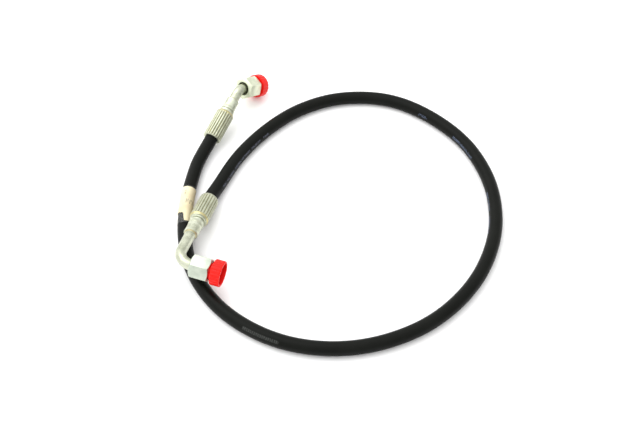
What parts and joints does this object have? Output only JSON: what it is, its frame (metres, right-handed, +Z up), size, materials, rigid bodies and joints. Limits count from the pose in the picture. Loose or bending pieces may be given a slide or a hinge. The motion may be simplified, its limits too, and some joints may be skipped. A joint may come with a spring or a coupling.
{
  "type": "hydraulic hose assembly",
  "caption": "Looped wire-braided hydraulic hose with crimped ferrules, a bent tube elbow and swivel nut on each end, screw plugs and a wrapped label.",
  "frame": {"origin": "on the floor plane under the middle of the box round the two end fittings, with the hose and its label left out", "axes": "+Z up from the floor the hose lies on; +Y from the 90 degree end (a) towards the 45 degree end (b); +X towards the far side of the hose's loop"},
  "size_m": [0.3649, 0.4007, 0.046],
  "materials": {
    "ferrule_plating": "zinc-nickel plated crimped steel, satin, faint yellow tint",
    "stem_plating": "zinc-nickel plated turned steel, satin",
    "tube_plating": "zinc-nickel plated drawn steel tube, smooth satin",
    "nose_plating": "zinc-nickel plated turned steel, smooth",
    "nut_plating": "zinc-nickel plated machined steel, satin, slightly whiter",
    "braze": "brazing alloy fillet, brassy",
    "braid_wire": "brass-coated steel wire braid",
    "hose_rubber": "black synthetic rubber cover, satin, fine cloth-wrap texture",
    "liner_rubber": "black oil-resistant rubber, smooth",
    "seal_rubber": "black nitrile rubber, smooth",
    "red_plastic": "red moulded polyethylene, semi-gloss",
    "clear_film": "clear plastic film, glossy",
    "label_paper": "cream paper label, matt, slightly worn"
  },
  "bodies": {
    "hose_line": {"ferrule_a": "ferrule_plating", "ferrule_b": "ferrule_plating", "stem_a": "stem_plating", "stem_b": "stem_plating", "hose_liner_end_a": "liner_rubber", "hose_liner_end_b": "liner_rubber", "wire_braid_end_a": "braid_wire", "wire_braid_end_b": "braid_wire", "hose_cover_end_a": "hose_rubber", "hose_cover_end_b": "hose_rubber", "stem_braze_a": "braze", "stem_braze_b": "braze", "elbow_tube_a": "tube_plating", "elbow_tube_b": "tube_plating", "nose_braze_a": "braze", "nose_braze_b": "braze", "cone_nose_a": "nose_plating", "cone_nose_b": "nose_plating", "o_ring_a": "seal_rubber", "o_ring_b": "seal_rubber", "hose": "hose_rubber", "label_film": "clear_film", "label_paper": "label_paper"},
    "nut_a": {"swivel_nut_a": "nut_plating"},
    "nut_b": {"swivel_nut_b": "nut_plating"},
    "screw_plug_a": {"plug_a": "red_plastic"},
    "screw_plug_b": {"plug_b": "red_plastic"}
  },
  "joints": [
    {"name": "nut_a_swivel", "type": "hinge", "parent": "hose_line", "child": "nut_a", "pos_m": [-0.04292, -0.13835, 0.03404], "axis": [0.9553, -0.2886, -0.0647], "continuous": true},
    {"name": "plug_a_unscrew", "type": "slide", "parent": "nut_a", "child": "screw_plug_a", "axis": [0.9553, -0.2886, -0.0647], "range_m": [0, 0.012]},
    {"name": "nut_b_swivel", "type": "hinge", "parent": "hose_line", "child": "nut_b", "pos_m": [0.00938, 0.12517, 0.03208], "axis": [0.5362, 0.6956, -0.4782], "continuous": true},
    {"name": "plug_b_unscrew", "type": "slide", "parent": "nut_b", "child": "screw_plug_b", "axis": [0.5362, 0.6956, -0.4782], "range_m": [0, 0.012]}
  ]
}
